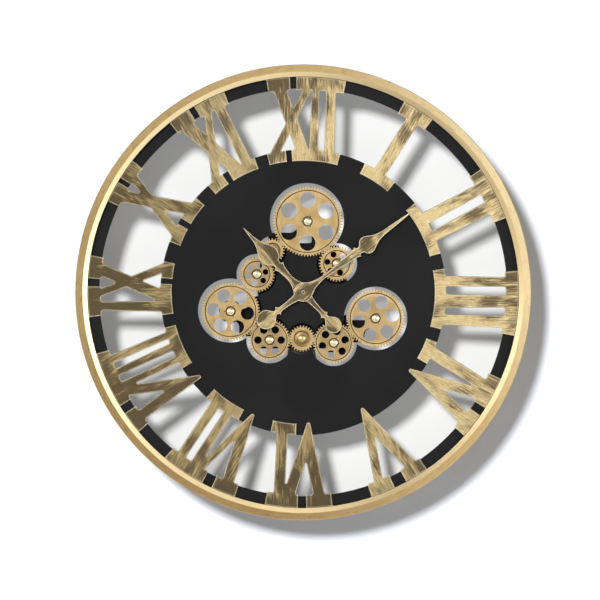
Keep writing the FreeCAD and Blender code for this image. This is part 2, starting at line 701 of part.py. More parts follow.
def aa_cell(x, z, height, flip):
    """AA cell lying along X, its nub towards +X unless flipped."""
    side = -1 if flip else 1
    body = Part.makeCylinder(AA_RADIUS, AA_LENGTH - 1.5, point(x - side * AA_LENGTH / 2, z, height),
                             Vector(side, 0, 0))
    nub = Part.makeCylinder(2.7, 1.5, point(x + side * (AA_LENGTH / 2 - 1.5), z, height), Vector(side, 0, 0))
    rims = [e for e in body.Edges if e.BoundBox.XLength < 1e-4]
    return body.makeFillet(0.7, rims).fuse(nub).removeSplitter()


def contact_plates(x_ends, z_places, height, half=5.5):
    """Sprung contact plates at both ends of each cell."""
    plates = []
    for z in z_places:
        for x in x_ends:
            plates.append(block(x, x + CONTACT_SHEET, z - half, z + half, height - half, height + half))
    return Part.makeCompound(plates)


SWITCH_X = 44.0
SWITCH_Z = -129.0


def switch_body():
    body = block(SWITCH_X - 6, SWITCH_X + 6, SWITCH_Z - 11, SWITCH_Z + 11, 42.0, DIAL_BACK)
    body = body.makeFillet(1.2, [e for e in body.Edges if e.BoundBox.YLength > 1])
    return body.cut(block(SWITCH_X - 2.6, SWITCH_X + 2.6, SWITCH_Z - 5.2, SWITCH_Z + 5.2, 41.0, 46.0))


def switch_knob():
    """Thumb slider, shown at the lower end of its slot: on."""
    knob = block(SWITCH_X - 2.3, SWITCH_X + 2.3, SWITCH_Z - 4.8, SWITCH_Z + 0.8, 40.0, 45.8)
    for k in range(3):
        z = SWITCH_Z - 3.9 + 1.5 * k
        knob = knob.cut(block(SWITCH_X - 3, SWITCH_X + 3, z, z + 0.7, 39.0, 40.6))
    return knob


def motor_leads():
    """Two insulated wires straight up behind the dial, from the battery box to the motor case."""
    leads = []
    for offset in (-1.2, 1.2):
        start = point(MOTOR_X + offset, BOX_Z[1], LEAD_HEIGHT)
        leads.append(Part.makeCylinder(0.8, CASE_FOOT - BOX_Z[1], start, Vector(0, 0, 1)))
    return Part.makeCompound(leads)


# ---------------------------------------------------------------- quartz movement

MOTION_MODULE = 0.5
CANNON_TEETH = 12                # turns once an hour with the minute hand
MINUTE_WHEEL_TEETH = 36
MINUTE_PINION_TEETH = 10
HOUR_WHEEL_TEETH = 40
MINUTE_WHEEL_REACH = MOTION_MODULE * (CANNON_TEETH + MINUTE_WHEEL_TEETH) / 2
PINION_MODULE = 2 * MINUTE_WHEEL_REACH / (MINUTE_PINION_TEETH + HOUR_WHEEL_TEETH)
MOTION_BACKLASH = 0.14
HOUR_TUBE_RADIUS = 2.6
MINUTE_ARBOR_RADIUS = 1.75
CASE_WALL = 1.4
KNOB_RADIUS = 7.0
FRONT_CASE_BACK = 30.0           # height at which the two halves of the case meet
MINUTE_WHEEL_Z = -MINUTE_WHEEL_REACH
MOVEMENT_BAY_Z = (11.5, 27.0)    # trough for the movement's own AA cell


def movement_shell(back, front):
    half = MOVEMENT_SIDE / 2
    shell = block(-half, half, -half, half, back, front)
    return shell.makeFillet(3.0, [e for e in shell.Edges if e.BoundBox.YLength > 1])


def movement_front_case():
    half = MOVEMENT_SIDE / 2 - CASE_WALL
    case = movement_shell(FRONT_CASE_BACK, PLATE_BACK)
    case = case.cut(block(-half, half, -half, half, FRONT_CASE_BACK - 1, PLATE_BACK - CASE_WALL))
    return case.cut(cylinder(0, 0, BUSH_RADIUS, PLATE_BACK - 3, PLATE_BACK + 1))


def movement_back_case():
    half = MOVEMENT_SIDE / 2 - CASE_WALL
    low, high = MOVEMENT_BAY_Z
    case = movement_shell(MOVEMENT_BACK, FRONT_CASE_BACK)
    floor = MOVEMENT_BACK + CASE_WALL
    case = case.cut(block(-half, half, -half, low - CASE_WALL, floor, FRONT_CASE_BACK + 1))
    case = case.cut(block(-26.2, 26.2, low, high, MOVEMENT_BACK - 1, FRONT_CASE_BACK + 1))
    return case.cut(cylinder(0, MINUTE_WHEEL_Z, 1.56, MOVEMENT_BACK - 1, MOVEMENT_BACK + 3))


def threaded_bush():
    """M8 bush of the movement, clamped through gear plate and dial."""
    outer = cylinder(0, 0, BUSH_RADIUS, PLATE_BACK - CASE_WALL, 53.6)
    flange = cylinder(0, 0, 6.0, PLATE_BACK - CASE_WALL - 1.0, PLATE_BACK - CASE_WALL)
    body = outer.fuse(flange).removeSplitter()
    return body.cut(cylinder(0, 0, HOUR_TUBE_RADIUS + BORE_CLEARANCE, 30, 60))


def hex_ring(across_flats, hole, back, front):
    circumradius = across_flats / 2 / cos(pi / 6)
    corners = [(circumradius * cos(pi * k / 3), circumradius * sin(pi * k / 3)) for k in range(6)]
    return prism(polygon(corners), back, front).cut(cylinder(0, 0, hole, back - 1, front + 1))


def hour_wheel():
    """Hour wheel and the tube that carries the hour hand."""
    wheel = toothed_disc(0, 0, HOUR_WHEEL_TEETH, PINION_MODULE, FIRST_TOOTH, 33.0, 34.4,
                         MOTION_BACKLASH)
    pipe = cylinder(0, 0, HOUR_TUBE_RADIUS, 33.0, HOUR_HAND[1])
    return wheel.fuse(pipe).removeSplitter().cut(
        cylinder(0, 0, MINUTE_ARBOR_RADIUS + BORE_CLEARANCE, 30, 60))


def minute_arbor():
    """Centre arbor with the cannon pinion; it carries the minute hand."""
    shaft = cylinder(0, 0, MINUTE_ARBOR_RADIUS, 24.0, MINUTE_HAND[1] + 0.1)
    pinion = toothed_disc(0, 0, CANNON_TEETH, MOTION_MODULE, FIRST_TOOTH, 30.6, 32.6, MOTION_BACKLASH)
    return shaft.fuse(pinion).removeSplitter()


def minute_wheel():
    """Wheel and pinion between the two hands; its stem comes out behind for the setting knob."""
    wheel_phase = mesh_phase(FIRST_TOOTH, CANNON_TEETH, DOWN, MINUTE_WHEEL_TEETH)
    pinion_phase = mesh_phase(FIRST_TOOTH, HOUR_WHEEL_TEETH, DOWN, MINUTE_PINION_TEETH)
    wheel = toothed_disc(0, MINUTE_WHEEL_Z, MINUTE_WHEEL_TEETH, MOTION_MODULE, wheel_phase, 30.8, 32.4,
                         MOTION_BACKLASH)
    pinion = toothed_disc(0, MINUTE_WHEEL_Z, MINUTE_PINION_TEETH, PINION_MODULE, pinion_phase, 32.4, 35.0,
                          MOTION_BACKLASH)
    stem = cylinder(0, MINUTE_WHEEL_Z, 1.5, MOVEMENT_BACK - 2.0, 31.0)
    return fuse([wheel, pinion, stem])


def setting_knob():
    """Fluted thumb wheel behind the movement."""
    knob = cylinder(0, MINUTE_WHEEL_Z, KNOB_RADIUS, MOVEMENT_BACK - 4.5, MOVEMENT_BACK - 0.5)
    flutes = 20
    for k in range(flutes):
        angle = 2 * pi * k / flutes
        knob = knob.cut(cylinder(KNOB_RADIUS * cos(angle), MINUTE_WHEEL_Z + KNOB_RADIUS * sin(angle), 0.7,
                                 MOVEMENT_BACK - 5, MOVEMENT_BACK))
    return knob.cut(cylinder(0, MINUTE_WHEEL_Z, 1.5, MOVEMENT_BACK - 2.0, MOVEMENT_BACK))


def circuit_board():
    """Board with the stepping motor's coil and the quartz crystal."""
    board = block(-25, -6, -24, 6, 24.2, 25.4)
    core = block(-23, -9, -22, -19.5, 26.7, 29.2)
    winding = Part.makeCylinder(2.6, 10, point(-21, -20.75, 28.0), Vector(1, 0, 0)).cut(core)
    feet = [block(x, x + 2, -22, -19.5, 25.4, 26.7) for x in (-23, -11)]
    crystal = Part.makeCylinder(1.0, 6.0, point(-20, -14, 26.4), Vector(1, 0, 0))
    return Part.makeCompound([fuse([board] + feet + [core]), winding, crystal])


# ---------------------------------------------------------------- hands

def curve(stations, side):
    """Smooth edge through (along, half width) stations on one side of a hand."""
    spline = Part.BSplineCurve()
    spline.interpolate([point(side * half, along) for along, half in stations])
    return spline.toShape()


def mirrored_outline(pieces):
    """Closed outline from curves on the right side, in order, and their mirror images."""
    right = [curve(stations, 1) for stations in pieces]
    left = [curve(stations, -1) for stations in pieces]
    return right + left


def hand(pieces, heights, bore, angle):
    back, front = heights
    blade = prism(mirrored_outline(pieces), back, front)
    solid = fuse([blade, cylinder(0, 0, HAND_HUB_RADIUS, back, front)])
    solid = solid.makeChamfer(HAND_CHAMFER, front_edges(solid, front))
    solid = solid.cut(cylinder(0, 0, bore, back - 1, front + 1))
    return solid.rotate(Vector(0, 0, 0), Vector(0, 1, 0), angle)


TIME_MINUTE_ANGLE = 53.4         # the minute hand's angle at rest, clockwise from twelve
TIME_HOUR_ANGLE = -42.9

MINUTE_OUTLINE = [
    # tail disc, its neck, the pointed knuckle, and the arm up to the hub
    [(-73.1, 0.0), (-71.4, 6.4), (-66.0, 11.0), (-60.0, 12.6), (-53.5, 10.6), (-48.6, 5.6), (-45.6, 3.0)],
    [(-45.6, 3.0), (-43.2, 3.2), (-41.0, 6.4)],
    [(-41.0, 6.4), (-38.5, 3.6), (-33.0, 2.9), (-22.0, 3.4), (-11.5, 5.0)],
    # hub, the thin arm and the forward knuckle
    [(-11.5, 5.0), (-8.8, 8.8), (-2.0, 12.3), (6.0, 10.9), (14.0, 6.3), (24.0, 3.4), (38.0, 2.4)],
    [(38.0, 2.4), (55.0, 3.2), (72.0, 4.7), (84.0, 5.6), (89.5, 7.4)],
    [(89.5, 7.4), (91.0, 4.6), (93.5, 4.4), (97.5, 8.2)],
    # spade and needle
    [(97.5, 8.2), (101.0, 10.9), (105.5, 11.8), (111.0, 10.0), (118.0, 6.2), (128.0, 3.5), (143.0, 2.4),
     (160.0, 1.6), (179.0, 0.0)],
]

HOUR_OUTLINE = [
    [(-69.4, 0.0), (-67.9, 5.5), (-63.6, 9.2), (-58.6, 10.5), (-52.8, 8.9), (-48.4, 5.0), (-45.0, 2.9)],
    [(-45.0, 2.9), (-43.0, 3.0), (-40.8, 6.0)],
    [(-40.8, 6.0), (-38.0, 3.5), (-32.0, 2.9), (-22.0, 3.4), (-11.5, 5.0)],
    [(-11.5, 5.0), (-8.8, 8.8), (-2.0, 12.3), (6.0, 10.6), (14.0, 6.4), (24.0, 3.9), (34.0, 4.2),
     (41.5, 5.2), (47.0, 7.8)],
    [(47.0, 7.8), (48.6, 4.8), (51.2, 4.6), (55.5, 8.4)],
    [(55.5, 8.4), (61.0, 11.9), (67.0, 13.1), (74.0, 11.4), (82.0, 6.9), (90.0, 3.7), (100.0, 2.0),
     (116.0, 0.0)],
]


def cap_nut():
    """Small domed nut that holds the minute hand on its arbor."""
    seat = MINUTE_HAND[1]
    shoulder = seat + 0.7
    rise = CLOCK_DEPTH - 0.05 - shoulder
    body = cylinder(0, 0, CAP_NUT_RADIUS, seat, shoulder)
    ball_radius = (CAP_NUT_RADIUS ** 2 + rise ** 2) / (2 * rise)
    ball = Part.makeSphere(ball_radius, point(0, 0, shoulder + rise - ball_radius))
    dome = ball.common(cylinder(0, 0, CAP_NUT_RADIUS, shoulder, CLOCK_DEPTH))
    nut = body.fuse(dome).removeSplitter()
    return nut.cut(cylinder(0, 0, MINUTE_ARBOR_RADIUS, seat - 1, seat + 0.1))


# ---------------------------------------------------------------- ring brackets and wall fittings

BRACKETS = 8
BRACKET_WIDTH = 18.0
BRACKET_INNER = 281.0            # radius where its foot ends under the chapter ring
BRACKET_LEG = 16.0
HANGER_WIDTH = 48.0
HANGER_Z = (270.5, 298.2)
KEYHOLE_Z = 279.5
KEYHOLE_HEAD = 4.75
KEYHOLE_SLOT = 2.3
KEYHOLE_REACH = 7.0              # from the middle of its head up to the end of its slot


def bracket_angles():
    spacing = 360 / BRACKETS
    return [spacing / 2 + spacing * k for k in range(BRACKETS)]


def bracket(angle):
    """L bracket, spot welded, that holds the chapter ring to the outer ring's wall."""
    inner_wall = CLOCK_RADIUS - SHEET
    half = BRACKET_WIDTH / 2
    bend = cylinder(0, 0, inner_wall, 0, CLOCK_DEPTH)
    foot = block(-half, half, BRACKET_INNER, CLOCK_RADIUS, DIAL_BACK - SHEET, DIAL_BACK).common(bend)
    leg = block(-half, half, BRACKET_INNER, CLOCK_RADIUS, DIAL_BACK - BRACKET_LEG, DIAL_BACK)
    leg = leg.common(tube(0, 0, inner_wall, inner_wall - SHEET, 0, CLOCK_DEPTH))
    return fuse([foot, leg]).rotate(Vector(0, 0, 0), Vector(0, 1, 0), angle)


def hanger():
    """Keyhole plate across the top of the back, welded inside the outer ring's flange."""
    slot_end = KEYHOLE_Z + KEYHOLE_REACH
    half = HANGER_WIDTH / 2
    plate = block(-half, half, *HANGER_Z, SHEET, 2 * SHEET)
    plate = plate.common(cylinder(0, 0, CLOCK_RADIUS - SHEET - 0.1, 0, CLOCK_DEPTH))
    plate = plate.cut(cylinder(0, KEYHOLE_Z, KEYHOLE_HEAD, 0, 10))
    slot = block(-KEYHOLE_SLOT, KEYHOLE_SLOT, KEYHOLE_Z, slot_end, 0, 10)
    slot = slot.fuse(cylinder(0, slot_end, KEYHOLE_SLOT, 0, 10))
    return plate.cut(slot)


def build():
    keep("outer_ring", outer_ring())
    keep("chapter_ring", chapter_ring())
    keep("dial_disc", dial_disc())
    for hour in NUMERALS:
        keep(f"numeral_{hour:02d}", numeral(hour))
    keep("gear_plate", gear_plate())
    keep("plate_standoffs", Part.makeCompound([standoff(x, z) for x, z in STANDOFFS]))
    keep("pan_screws", Part.makeCompound(
        [pan_screw(x, z, PLATE_BACK) for x, z in STANDOFFS]
        + [pan_screw(x, z, MOTOR_BACK) for x, z in case_screws()]))
    for gear in GEARS:
        keep(gear.name, gear_solid(gear))
    fixed = [gear for gear in GEARS if gear is not BOTTOM]
    keep("gear_axles", Part.makeCompound([fixed_axle(gear) for gear in fixed]))
    keep("axle_caps", Part.makeCompound([axle_cap(gear) for gear in fixed]))
    keep("drive_cap", axle_cap(BOTTOM))

    keep("motor_case", motor_case())
    keep("motor_cover", motor_cover())
    keep("motor_can", motor_can())
    keep("motor_rotor", motor_rotor())
    keep("output_wheel", output_wheel())
    keep("output_shaft", output_shaft())
    keep("output_bush", output_bush())

    keep("battery_box", battery_box())
    keep("battery_cover", battery_cover())
    keep("motor_cells", Part.makeCompound(
        [aa_cell(0, z, CELL_HEIGHT, flip) for z, flip in zip(CELL_Z, (False, True))]))
    contact_ends = (BOX_X[0] + BOX_WALL, BOX_X[1] - BOX_WALL - CONTACT_SHEET)
    keep("battery_contacts", contact_plates(contact_ends, CELL_Z, CELL_HEIGHT))
    keep("switch_body", switch_body())
    keep("switch_knob", switch_knob())
    keep("motor_leads", motor_leads())

    keep("movement_front_case", movement_front_case())
    keep("movement_back_case", movement_back_case())
    keep("movement_cell", aa_cell(0, sum(MOVEMENT_BAY_Z) / 2, MOVEMENT_BACK + 7.3, False))
    keep("circuit_board", circuit_board())
    keep("threaded_bush", threaded_bush())
    keep("bush_washer", tube(0, 0, 8.0, BUSH_RADIUS + 0.1, DIAL_FRONT, DIAL_FRONT + 0.4))
    keep("bush_nut", hex_ring(11.0, BUSH_RADIUS, DIAL_FRONT + 0.4, DIAL_FRONT + 1.8))
    keep("hour_wheel", hour_wheel())
    keep("minute_arbor", minute_arbor())
    keep("minute_wheel", minute_wheel())
    keep("setting_knob", setting_knob())

    keep("hour_hand", hand(HOUR_OUTLINE, HOUR_HAND, HOUR_TUBE_RADIUS, TIME_HOUR_ANGLE))
    keep("minute_hand", hand(MINUTE_OUTLINE, MINUTE_HAND, MINUTE_ARBOR_RADIUS, TIME_MINUTE_ANGLE))
    keep("hand_cap_nut", cap_nut())

    keep("ring_brackets", Part.makeCompound([bracket(angle) for angle in bracket_angles()]))
    keep("hanger_plate", hanger())


build()
os.makedirs("parts", exist_ok=True)
for node, shape in EVERYTHING.items():
    assert shape.isValid(), node
    shape.exportStep(f"parts/{node}.step")
    print(node, len(shape.Solids), round(shape.Volume))
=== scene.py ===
"""Looks for the skeleton wall clock: finishes, wall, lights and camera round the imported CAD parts."""

import json
import math

import bpy
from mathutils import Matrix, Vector


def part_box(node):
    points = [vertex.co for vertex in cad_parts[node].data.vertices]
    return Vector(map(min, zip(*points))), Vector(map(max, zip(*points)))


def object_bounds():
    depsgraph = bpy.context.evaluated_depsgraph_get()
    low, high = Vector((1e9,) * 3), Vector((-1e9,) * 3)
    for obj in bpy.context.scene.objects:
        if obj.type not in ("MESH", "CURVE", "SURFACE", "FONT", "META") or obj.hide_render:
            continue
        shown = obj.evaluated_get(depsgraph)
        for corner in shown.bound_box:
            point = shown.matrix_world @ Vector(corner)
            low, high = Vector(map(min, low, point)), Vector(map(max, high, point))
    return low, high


MM = 0.001

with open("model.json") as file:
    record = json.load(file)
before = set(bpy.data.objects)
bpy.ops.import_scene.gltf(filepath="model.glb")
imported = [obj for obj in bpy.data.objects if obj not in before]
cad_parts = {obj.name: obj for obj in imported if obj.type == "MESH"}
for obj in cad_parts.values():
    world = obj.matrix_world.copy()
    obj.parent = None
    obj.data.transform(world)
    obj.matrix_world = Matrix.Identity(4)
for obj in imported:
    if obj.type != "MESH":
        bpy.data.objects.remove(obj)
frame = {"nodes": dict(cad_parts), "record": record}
cad_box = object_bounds()
NODES = frame["nodes"]

CLOCK_RADIUS = cad_box[1][0]
BEVEL_EDGE = 290.4 * MM
DISC_GLOW_RADIUS = 190.0 * MM


# ---------------------------------------------------------------- node helpers

class Finish:
    """A procedural material and short calls for the nodes that it is built from."""

    def __init__(self, name):
        self.material = bpy.data.materials.new(name)
        self.material.use_nodes = True
        self.tree = self.material.node_tree
        self.shader = self.tree.nodes["Principled BSDF"]

    def feed(self, socket, value):
        """Links one socket to another, or sets its plain value."""
        if isinstance(value, bpy.types.NodeSocket):
            self.tree.links.new(value, socket)
        elif socket.type == "RGBA":
            socket.default_value = (*value, 1.0)
        else:
            socket.default_value = value

    def node(self, kind, inputs, output=0, **settings):
        """Adds one node. Inputs are keyed by name or place, and the chosen output comes back."""
        made = self.tree.nodes.new("ShaderNode" + kind)
        for key, value in settings.items():
            setattr(made, key, value)
        for key, value in inputs.items():
            self.feed(made.inputs[key], value)
        return made.outputs[output]

    def shade(self, **values):
        """Sets inputs of the main shader. Underscores stand for the spaces in their names."""
        for key, value in values.items():
            self.feed(self.shader.inputs[key.replace("_", " ")], value)

    def coords(self):
        return self.node("TexCoord", {}, "Object")

    def parts(self, vector):
        """The x, y and z of a vector."""
        x = self.node("SeparateXYZ", {0: vector}, 0)
        split = x.node
        return x, split.outputs[1], split.outputs[2]

    def vector(self, x, y, z):
        return self.node("CombineXYZ", {0: x, 1: y, 2: z})

    def maths(self, operation, a, b=0.0):
        return self.node("Math", {0: a, 1: b}, operation=operation)

    def times(self, a, b):
        return self.maths("MULTIPLY", a, b)

    def plus(self, a, b):
        return self.maths("ADD", a, b)

    def scaled(self, vector, factors):
        return self.node("VectorMath", {0: vector, 1: factors}, operation="MULTIPLY")

    def turned(self, vector, angle):
        """Turns a vector about the clock's axis, anticlockwise as the dial is read."""
        return self.node("VectorRotate", {"Vector": vector, "Angle": angle}, rotation_type="Y_AXIS")

    def noise(self, vector, per_metre, detail=3.0, roughness=0.5, distortion=0.0):
        values = {
            "Vector": vector,
            "Scale": per_metre,
            "Detail": detail,
            "Roughness": roughness,
            "Distortion": distortion,
        }
        return self.node("TexNoise", values, 0)

    def between(self, value, low, high, to_low=0.0, to_high=1.0):
        """Maps low..high smoothly on to to_low..to_high, and holds the ends."""
        values = {0: value, 1: low, 2: high, 3: to_low, 4: to_high}
        return self.node("MapRange", values, interpolation_type="SMOOTHSTEP")

    def blend(self, amount, a, b):
        """The colour a, going over to b as the amount goes from 0 to 1."""
        made = self.tree.nodes.new("ShaderNodeMix")
        made.data_type = "RGBA"
        self.feed(made.inputs[0], amount)
        self.feed(made.inputs[6], a)
        self.feed(made.inputs[7], b)
        return made.outputs[2]

    def bump(self, height, depth):
        return self.node("Bump", {"Height": height, "Distance": depth, "Strength": 1.0})

    def from_axis(self, x, z):
        """The distance from an axis through x = z = 0 that runs straight off the wall."""
        return self.maths("SQRT", self.plus(self.times(x, x), self.times(z, z)))

    def towards(self, bearing, x, z):
        """How far out a point lies on a bearing, which is in degrees clockwise from 12."""
        angle = math.radians(bearing)
        return self.plus(self.times(x, math.sin(angle)), self.times(z, math.cos(angle)))

    def edge_wear(self, width):
        """Is 1 on the edges that hands and tools rub bright, and falls to 0 within the width."""
        rounded = self.node("Bevel", {"Radius": width}, samples=6)
        flat = self.node("NewGeometry", {}, "True Normal")
        agreement = self.node("VectorMath", {0: rounded, 1: flat}, "Value", operation="DOT_PRODUCT")
        return self.between(agreement, 0.99, 0.86)

    def corner_shade_and_dust(self, reach):
        """Is 1 deep in corners and 0 out in the open: painted shade on the metals, dust on the
        plastics.
        """
        values = {"Distance": reach}
        open_sky = self.node("AmbientOcclusion", values, "AO", samples=6)
        return self.between(open_sky, 0.95, 0.45)


def near_hour_angle(finish, coords):
    """The angle of the nearest hour mark, clockwise from 12, in radians."""
    x, _, z = finish.parts(coords)
    angle = finish.maths("ARCTAN2", x, z)
    hours = finish.maths("ROUND", finish.times(angle, 6.0 / math.pi))
    return finish.times(hours, math.pi / 6.0)


# ---------------------------------------------------------------- finishes

# Bearings of the painted highlight and the painted shade round the ring.
HIGHLIGHT_BEARING = 65.0
SHADE_BEARING = 215.0


def ring_gold():
    """Satin gold lacquer, brushed round the ring, with a brighter bevel inside its front edge.

    Its colour is painted lighter and less saturated towards 2 o'clock, a painted highlight, and
    darker towards 7, painted shade. The bevel is painted bright, as polish and as a painted
    highlight that is strongest on the left, and darker on the right as painted shade, darkest
    low on the right. Painted shade browns its corners.
    """
    f = Finish("ring_gold")
    coords = f.coords()
    x, y, z = f.parts(coords)
    radius = f.from_axis(x, z)
    angle = f.maths("ARCTAN2", x, z)
    round_the_ring = f.vector(f.times(radius, 900.0), f.times(y, 900.0), f.times(angle, 24.0))
    brushing = f.noise(round_the_ring, 1.0, 4.0, 0.6)
    clouds = f.noise(coords, 14.0, 3.0, 0.5)
    tone = f.plus(f.times(brushing, 0.6), f.times(clouds, 0.4))
    colour = f.blend(f.between(tone, 0.3, 0.7), (0.38, 0.25, 0.088), (0.48, 0.325, 0.120))
    # Painted highlight: lighter and less saturated towards 2 o'clock.
    highlight_side = f.between(f.towards(HIGHLIGHT_BEARING, x, z), 120.0 * MM, 290.0 * MM)
    colour = f.blend(highlight_side, colour, f.scaled(colour, (0.98, 1.12, 1.52)))
    # Painted shade: darker towards 7 o'clock.
    shade_side = f.between(f.towards(SHADE_BEARING, x, z), 176.0 * MM, 279.0 * MM)
    colour = f.blend(shade_side, colour, f.scaled(colour, (0.84, 0.78, 0.66)))
    # The bevel is painted bright, as polish and as a painted highlight strongest on the left, and
    # darker on the right as painted shade, darkest low on the right.
    on_bevel = f.between(radius, BEVEL_EDGE - 0.2 * MM, BEVEL_EDGE + 0.2 * MM, 1.0, 0.0)
    height = f.between(z, -230.0 * MM, -90.0 * MM)
    bevel_shade = f.blend(height, (0.20, 0.145, 0.068), (0.39, 0.285, 0.134))
    bevel = f.blend(f.between(x, -60.0 * MM, 140.0 * MM), (0.64, 0.50, 0.27), bevel_shade)
    colour = f.blend(on_bevel, colour, bevel)
    # Painted shade: dark brown in the corners, such as at the foot of the bevel.
    colour = f.blend(f.times(f.corner_shade_and_dust(5.0 * MM), 0.8), colour, (0.10, 0.068, 0.028))
    colour = f.blend(f.times(f.edge_wear(0.7 * MM), 0.4), colour, (0.90, 0.78, 0.50))
    f.shade(
        Base_Color=colour,
        Metallic=1.0,
        Roughness=f.plus(f.between(brushing, 0.2, 0.8, 0.26, 0.34), f.times(on_bevel, 0.20)),
        Normal=f.bump(brushing, 0.02 * MM),
        Coat_Weight=0.8,
        Coat_Roughness=0.3,
        Coat_IOR=1.6,
    )
    return f.material


def antique_gold(name, direction=None, patina_and_shade_level=0.0, bright=(0.58, 0.455, 0.240)):
    """Old gold under brushed brown patina, rubbed light along every edge.

    The brushing runs in the given direction, clockwise from 12 in radians, or out from the
    dial's centre along the nearest hour mark. The patina and shade level adds to or takes from
    the brown, and bright is the gold where the patina has been rubbed off. On the numerals of
    the lower left both also carry painted shade.
    """
    f = Finish(name)
    coords = f.coords()
    angle = near_hour_angle(f, coords) if direction is None else direction
    along = f.turned(coords, f.times(angle, -1.0))
    streaks = f.noise(f.scaled(along, (620.0, 620.0, 40.0)), 1.0, 5.0, 0.75, 0.3)
    fine = f.noise(f.scaled(along, (1500.0, 1500.0, 180.0)), 1.0, 3.0, 0.6)
    clouds = f.noise(f.scaled(along, (34.0, 34.0, 14.0)), 1.0, 2.0, 0.5, 0.6)
    speckle = f.noise(coords, 1300.0, 2.0, 0.5)
    x, _, z = f.parts(coords)
    outer_end = f.between(f.from_axis(x, z), 235.0 * MM, 285.0 * MM, 0.0, 0.07)
    cover = f.between(clouds, 0.36, 0.64)
    strokes = f.plus(f.times(streaks, 0.6), f.times(cover, 0.18))
    mixed = f.plus(strokes, f.plus(outer_end, 0.10))
    patina = f.between(f.plus(mixed, patina_and_shade_level), 0.41, 0.60)
    gold = f.blend(f.between(fine, 0.3, 0.7), (0.31, 0.235, 0.110), bright)
    brown = f.blend(f.between(speckle, 0.4, 0.65), (0.022, 0.016, 0.009), (0.075, 0.055, 0.030))
    colour = f.blend(f.times(patina, 0.95), gold, brown)
    worn = f.times(f.edge_wear(2.0 * MM), f.between(fine, 0.2, 0.5, 0.7, 1.0))
    colour = f.blend(worn, colour, (0.80, 0.70, 0.49))
    f.shade(
        Base_Color=colour,
        Metallic=f.plus(1.0, f.times(worn, -0.7)),
        Roughness=f.between(patina, 0.0, 1.0, 0.28, 0.42),
        Normal=f.bump(f.plus(streaks, f.times(speckle, 0.3)), 0.22 * MM),
    )
    return f.material


def gear_gold(name, gear="gear_top", web_tone=1.0):
    """Warm satin gold with light tooth tips, and painted shade on the faces sunk below the gears' front
    face.

    The web inside the given gear's rim has the web tone's share of the rim's brightness.
    """
    f = Finish(name)
    coords = f.coords()
    low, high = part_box(gear)
    tip_radius = (high[0] - low[0]) / 2.0
    x, y, z = f.parts(coords)
    off_x = f.plus(x, -(low[0] + high[0]) / 2.0)
    off_z = f.plus(z, -(low[2] + high[2]) / 2.0)
    radius = f.from_axis(off_x, off_z)
    web = f.between(radius, 0.74 * tip_radius, 0.80 * tip_radius, 1.0 - web_tone, 0.0)
    front = low[1]
    _, facing, _ = f.parts(f.node("NewGeometry", {}, "True Normal"))
    # Painted shade: faces sunk below the gear's front face, as in the groove and hub recess, are
    # browned dark.
    sunk = f.between(y, front + 0.3 * MM, front + 2.2 * MM)
    recess_shade = f.times(sunk, f.between(facing, 0.2, 0.6, 1.0, 0.0))
    clouds = f.noise(coords, 60.0, 3.0, 0.55)
    grain = f.noise(coords, 1800.0, 2.0, 0.5)
    colour = f.blend(f.between(clouds, 0.35, 0.65), (0.36, 0.245, 0.100), (0.46, 0.325, 0.148))
    colour = f.blend(web, colour, (0.0, 0.0, 0.010))
    colour = f.blend(f.times(recess_shade, 0.8), colour, (0.13, 0.075, 0.030))
    # Painted shade darkens the corners.
    colour = f.blend(f.times(f.corner_shade_and_dust(3.0 * MM), 0.9), colour, (0.06, 0.035, 0.014))
    colour = f.blend(f.times(f.edge_wear(0.6 * MM), 0.75), colour, (0.72, 0.60, 0.38))
    f.shade(
        Base_Color=colour,
        Metallic=0.95,
        Roughness=f.plus(f.between(grain, 0.2, 0.8, 0.30, 0.38), f.times(recess_shade, 0.15)),
        Normal=f.bump(grain, 0.03 * MM),
    )
    return f.material


def turned_metal(name, bright, dull, roughness, ring_pitch=0.25 * MM):
    """Lathe-turned metal: fine rings across the axis, with painted shade darkening its corners."""
    f = Finish(name)
    coords = f.coords()
    _, y, _ = f.parts(coords)
    rings = f.maths("SINE", f.times(y, 2.0 * math.pi / ring_pitch))
    tarnish = f.noise(coords, 240.0, 4.0, 0.6)
    colour = f.blend(f.between(tarnish, 0.35, 0.7), bright, dull)
    # Painted shade darkens the corners.
    colour = f.blend(f.times(f.corner_shade_and_dust(2.0 * MM), 0.6), colour, tuple(0.35 * part for part in dull))
    f.shade(
        Base_Color=colour,
        Metallic=0.9,
        Roughness=f.between(tarnish, 0.2, 0.8, roughness, roughness + 0.12),
        Normal=f.bump(rings, 0.004 * MM),
    )
    return f.material


def black_steel():
    """Matte black powder coat with its fine orange-peel grain."""
    f = Finish("black_steel")
    coords = f.coords()
    peel = f.noise(coords, 1100.0, 2.0, 0.5)
    grit = f.noise(coords, 3200.0, 1.0, 0.5)
    clouds = f.noise(coords, 9.0, 2.0, 0.5)
    colour = f.blend(f.between(clouds, 0.3, 0.7), (0.0060, 0.0060, 0.0062), (0.0080, 0.0080, 0.0083))
    colour = f.blend(f.times(f.edge_wear(0.5 * MM), 0.45), colour, (0.055, 0.055, 0.058))
    f.shade(
        Base_Color=colour,
        Roughness=f.between(grit, 0.3, 0.7, 0.50, 0.64),
        Normal=f.bump(f.plus(peel, f.times(grit, 0.4)), 0.05 * MM),
    )
    f.shade(Specular_IOR_Level=0.03)
    return f.material


